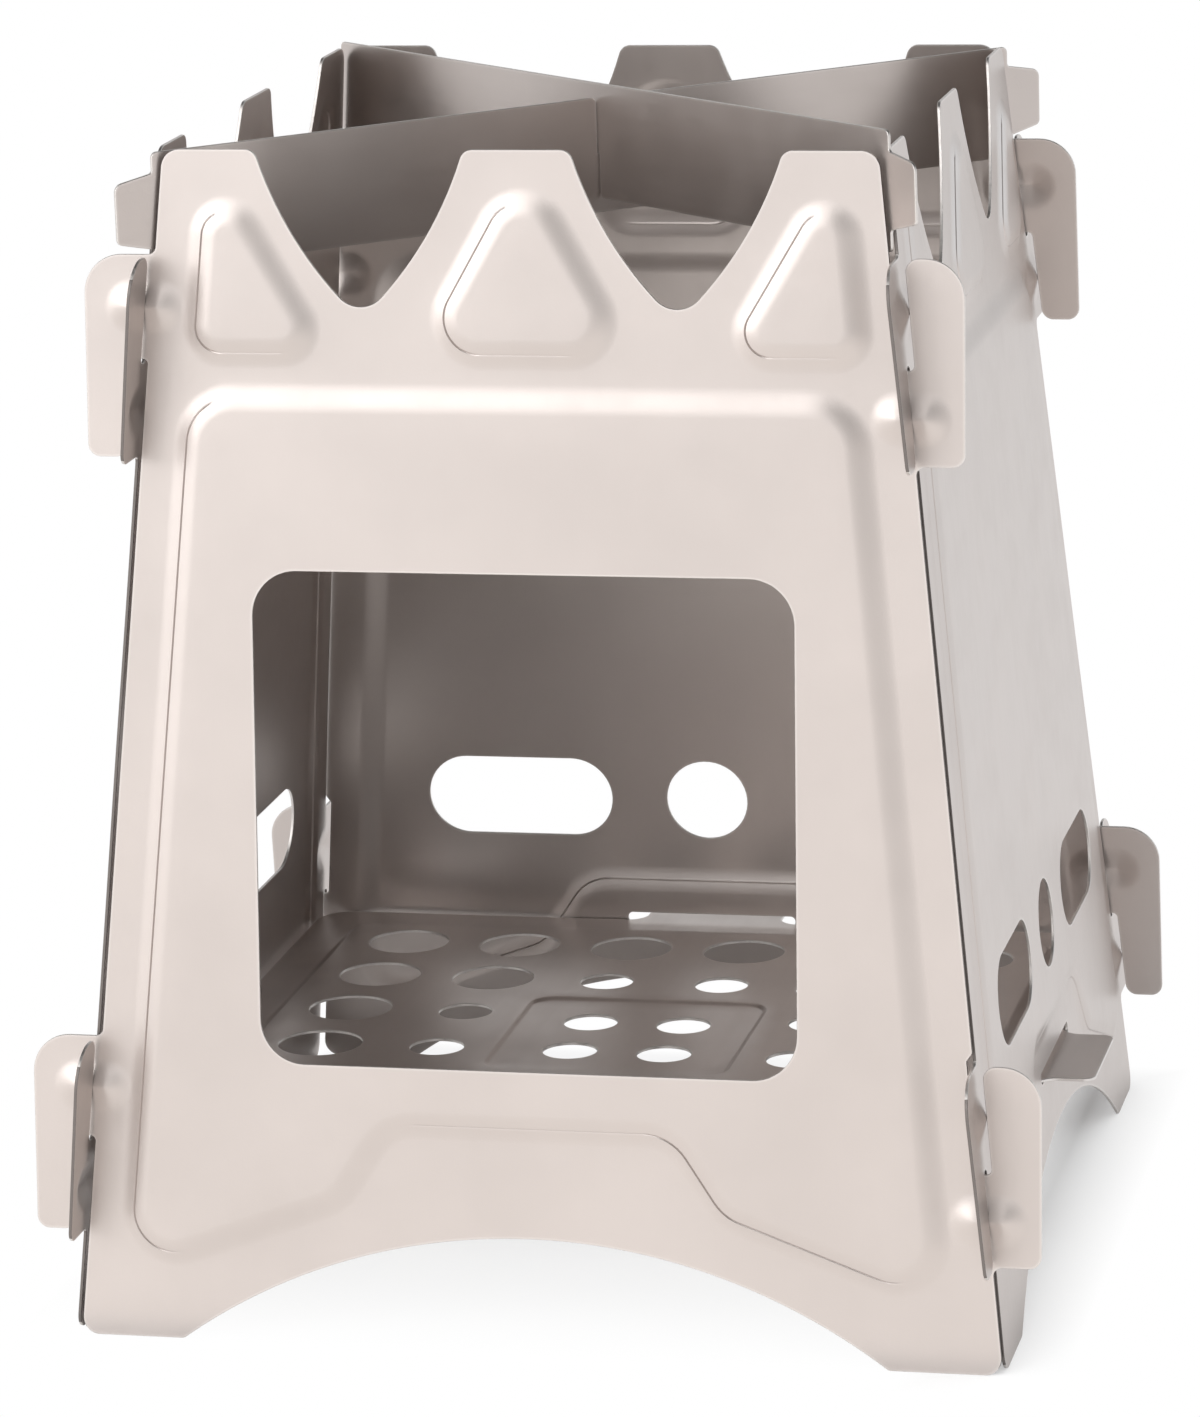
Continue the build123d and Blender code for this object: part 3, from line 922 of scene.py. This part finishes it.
# Walls
forms = wall_forms()
door = rounded_box(DOOR_WIDTH, DOOR_HEIGHT, DOOR_RADIUS, 0, DOOR_SILL + DOOR_HEIGHT / 2)
slot_middle = SLOT_FLOOR / cos(WALL_LEAN) + SLOT_HEIGHT / 2
vents = [
    circle(VENT_DIAMETER, 0, VENT_HEIGHT),
    rounded_box(VENT_LENGTH, VENT_DIAMETER, VENT_DIAMETER / 2, -VENT_OFFSET, VENT_HEIGHT),
    rounded_box(VENT_LENGTH, VENT_DIAMETER, VENT_DIAMETER / 2, VENT_OFFSET, VENT_HEIGHT),
    rounded_box(SLOT_LENGTH, SLOT_HEIGHT, SLOT_RADIUS, 0, slot_middle, SLOT_RUN_STEP),
]
front_layout = sheet_layout(wall_loop(EDGE_COVER, EDGE_COVER), [door], forms)
side_layout = sheet_layout(wall_loop(0, 0), vents, forms)
back_layout = sheet_layout(wall_loop(EDGE_COVER, 0), vents, forms)
walls = [
    ("front", front_layout, False),
    ("right", side_layout, True),
    ("back", back_layout, False),
    ("left", side_layout, True),
]
for order, (side, layout, side_wall) in enumerate(walls):
    # Which edges of this wall get the painted shade of the corner gaps
    gap_shaded = corner_edges(side_wall)
    mesh = sheet_mesh(side + "_wall", layout, forms, WALL_SEED + order, gap_shaded)
    stand(
        side + "_wall", mesh, wall_matrix(order * pi / 2), side + "_panel", "stove_body",
        (wall_metal, edge_metal_and_highlight, gap_shade_metal),
    )

# Floor plate
field_width, recess_width = 2 * PLATE_FIELD_HALF, 2 * RECESS_HALF
plate_field = rounded_box(field_width, field_width, PLATE_FIELD_RADIUS, step=FIELD_RUN_STEP)
recess = rounded_box(recess_width, recess_width, RECESS_RADIUS, step=RECESS_RUN_STEP)
plate_forms = [
    (plate_field, PLATE_BEVEL, PLATE_FIELD_RISE, 0.0),
    (recess, RECESS_BEVEL, -RECESS_DEPTH, 0.0),
]
plate_layout = sheet_layout(plate_loop(), plate_holes(), plate_forms)
stand(
    "fire_plate", sheet_mesh("fire_plate", plate_layout, plate_forms, PLATE_SEED),
    place_matrix((0, 0, PLATE_LEVEL + SHEET / 2), (1, 0, 0), (0, 1, 0)),
    "floor_plate", "stove_body", (floor_metal, edge_metal_and_highlight),
)

# Pot bars
lower_layout = sheet_layout(bar_loop("top", LOWER_SLOT_DEPTH), [], [])
stand(
    "pot_bar_below", sheet_mesh("pot_bar_below", lower_layout, [], LOWER_BAR_SEED),
    bar_matrix(BAR_TURN, 0, LOWER_BAR_TOP),
    "lower_bar", "lower_pot_bar", (bar_metal, edge_metal_and_highlight),
)
upper_layout = sheet_layout(bar_loop("bottom", UPPER_SLOT_DEPTH), [], [])
stand(
    "pot_bar_above", sheet_mesh("pot_bar_above", upper_layout, [], UPPER_BAR_SEED),
    bar_matrix(-BAR_TURN, UPPER_BAR_LEAN, UPPER_BAR_TOP),
    "upper_bar", "upper_pot_bar", (bar_metal, edge_metal_and_highlight),
)

# Camera, fitted to the straight edges in the photograph, in metres and radians
CAMERA_PLACE = (0.2093, -0.9259, 0.3220)
YAW, PITCH, ROLL = 0.225147, 0.245142, -0.032700
FOCAL_PIXELS, FRAME_HEIGHT = 6009, 1417
SENSOR = 36.0
CLIP_START = 0.01
forward = Vector((-sin(YAW) * cos(PITCH), cos(YAW) * cos(PITCH), -sin(PITCH)))
level = Vector((cos(YAW), sin(YAW), 0))
upright = level.cross(forward)
camera_x = cos(ROLL) * level + sin(ROLL) * upright
camera_y = -sin(ROLL) * level + cos(ROLL) * upright
camera_data = bpy.data.cameras.new("camera")
camera_data.sensor_width = SENSOR
camera_data.lens = FOCAL_PIXELS / FRAME_HEIGHT * SENSOR
camera_data.clip_start = CLIP_START
camera = bpy.data.objects.new("camera", camera_data)
bpy.context.scene.collection.objects.link(camera)
turned = Matrix((camera_x, camera_y, -forward)).transposed().to_4x4()
camera.matrix_world = Matrix.Translation(CAMERA_PLACE) @ turned
bpy.context.scene.camera = camera


# Studio

WHITE = (1, 1, 1)
LAMP_AIM = Vector((0, 0, 0.09))
LAMP_DISTANCE = 2.2

# Lamps aimed at the stove: name, turn about it and rise in degrees, size, power, colour
AIMED_LAMPS = [
    ("front", -103, 10, (1.3, 0.9), 1.9, WHITE),
    ("key", -134, 20, (1.3, 1.3), 15, WHITE),
    ("high", -110, 43, (1.3, 1.3), 13, WHITE),
    ("back", 40, 15, (1.3, 1.3), 4.3, (0.7, 0.88, 1.0)),
]

# Lamps that shine upward just above the floor, as a bright table does: name, place, size,
# power, colour
TABLE_LAMPS = [
    ("table_front", (-0.2, -0.65, 0.001), (2.2, 1.14), 2.7, (1.0, 0.91, 0.82)),
    ("table_right", (0.65, 0.15, 0.001), (1.1, 1.8), 0.8, (0.9, 0.95, 1.0)),
]

# Fades of the backdrop that metal mirrors: a low and a high direction, and the strength at each
OVERHEAD_FADE = (0.3, 0.72, 1.0, 0.02)
RIGHT_FADE = (-0.1, 0.5, 1.0, 0.8)

# Fades of the floor: a near and a far place in metres, and the share of white at each
FLOOR_PALENESS = 0.9
BESIDE_FADE = (0.066, 0.083, 0.1, 1.0)
BEFORE_FADE = (-0.075, -0.02, 1.0, 0.8)
BEFORE_RIGHT_FADE = (0.058, 0.072, 1.0, 0.0)
MIRRORED_FADE = (0.076, 0.084, 0.0, 1.0)
FLOOR_REACH = 4.0
FLOOR_LEVEL = -1e-5


def softbox(name, place, facing, size, power, colour):
    """Soft rectangular light."""
    light = bpy.data.lights.new(name, "AREA")
    light.shape = "RECTANGLE"
    light.size, light.size_y = size
    light.energy = power
    light.color = colour
    lamp = bpy.data.objects.new(name, light)
    lamp.location = place
    lamp.rotation_euler = facing.to_track_quat("-Z", "Y").to_euler()
    lamp.visible_camera = False
    bpy.context.scene.collection.objects.link(lamp)


def aimed_softbox(name, turn, rise, size, power, colour):
    """Soft light aimed at the stove, from a turn about it and a rise above the floor."""
    turn, rise = radians(turn), radians(rise)
    away = Vector((cos(turn) * cos(rise), sin(turn) * cos(rise), sin(rise)))
    softbox(name, LAMP_AIM + LAMP_DISTANCE * away, -away, size, power, colour)


def direct_rays(nodes, links):
    """One for rays from the camera, straight or by way of metal or glass, otherwise zero."""
    path = nodes.new("ShaderNodeLightPath").outputs
    both = added(nodes, links, path["Is Camera Ray"], path["Is Glossy Ray"])
    return added(nodes, links, both, path["Is Transmission Ray"])


for lamp in AIMED_LAMPS:
    aimed_softbox(*lamp)
for name, place, size, power, colour in TABLE_LAMPS:
    softbox(name, place, Vector((0, 0, 1)), size, power, colour)

world = bpy.data.worlds.new("studio")
bpy.context.scene.world = world
world.use_nodes = True
nodes, links = world.node_tree.nodes, world.node_tree.links
nodes.clear()
output = nodes.new("ShaderNodeOutputWorld")
direction = nodes.new("ShaderNodeSeparateXYZ")
links.new(nodes.new("ShaderNodeTexCoord").outputs["Generated"], direction.inputs[0])
overhead = ranged(nodes, links, direction.outputs["Z"], *OVERHEAD_FADE, "SMOOTHSTEP")
to_right = ranged(nodes, links, direction.outputs["X"], *RIGHT_FADE)
is_camera = nodes.new("ShaderNodeLightPath").outputs["Is Camera Ray"]
to_right = greater(nodes, links, to_right, is_camera)
backdrop = nodes.new("ShaderNodeBackground")
links.new(multiplied(nodes, links, overhead, to_right), backdrop.inputs["Strength"])
ambient = nodes.new("ShaderNodeBackground")
ambient.inputs["Strength"].default_value = 1.0
for background in (backdrop, ambient):
    background.inputs["Color"].default_value = (*WHITE, 1)
pick = nodes.new("ShaderNodeMixShader")
links.new(direct_rays(nodes, links), pick.inputs[0])
links.new(ambient.outputs[0], pick.inputs[1])
links.new(backdrop.outputs[0], pick.inputs[2])
links.new(pick.outputs[0], output.inputs["Surface"])


def studio_floor():
    """Pale floor with the shade beneath the stove, which turns to plain white about its feet."""
    material, nodes, links = shader("studio_floor")
    output = nodes.new("ShaderNodeOutputMaterial")
    pale = nodes.new("ShaderNodeBsdfDiffuse")
    pale.inputs["Color"].default_value = (FLOOR_PALENESS, FLOOR_PALENESS, FLOOR_PALENESS, 1)
    white = nodes.new("ShaderNodeEmission")
    white.inputs["Color"].default_value = (*WHITE, 1)
    white.inputs["Strength"].default_value = 1.0
    place = nodes.new("ShaderNodeSeparateXYZ")
    links.new(nodes.new("ShaderNodeNewGeometry").outputs["Position"], place.inputs[0])
    x, y = place.outputs["X"], place.outputs["Y"]
    across = greater(nodes, links, absolute(nodes, links, x), absolute(nodes, links, y))
    path = nodes.new("ShaderNodeLightPath").outputs
    beside = ranged(nodes, links, across, *BESIDE_FADE)
    before = multiplied(
        nodes, links, ranged(nodes, links, y, *BEFORE_FADE),
        ranged(nodes, links, x, *BEFORE_RIGHT_FADE),
    )
    seen = greater(nodes, links, beside, before)
    mirrored_share = ranged(nodes, links, across, *MIRRORED_FADE)
    mirrors = added(nodes, links, path["Is Glossy Ray"], path["Is Transmission Ray"])
    share = added(
        nodes, links, multiplied(nodes, links, seen, path["Is Camera Ray"]),
        multiplied(nodes, links, mirrored_share, mirrors),
    )
    pick = nodes.new("ShaderNodeMixShader")
    links.new(share, pick.inputs[0])
    links.new(pale.outputs[0], pick.inputs[1])
    links.new(white.outputs[0], pick.inputs[2])
    links.new(pick.outputs[0], output.inputs["Surface"])
    return material


floor_mesh = bpy.data.meshes.new("studio_floor")
signs = [(-1, -1), (1, -1), (1, 1), (-1, 1)]
corners = [(x * FLOOR_REACH, y * FLOOR_REACH, FLOOR_LEVEL) for x, y in signs]
floor_mesh.from_pydata(corners, [], [(0, 1, 2, 3)])
floor_mesh.materials.append(studio_floor())
floor = bpy.data.objects.new("studio_floor", floor_mesh)
bpy.context.scene.collection.objects.link(floor)

bpy.context.scene.view_settings.view_transform = "Standard"
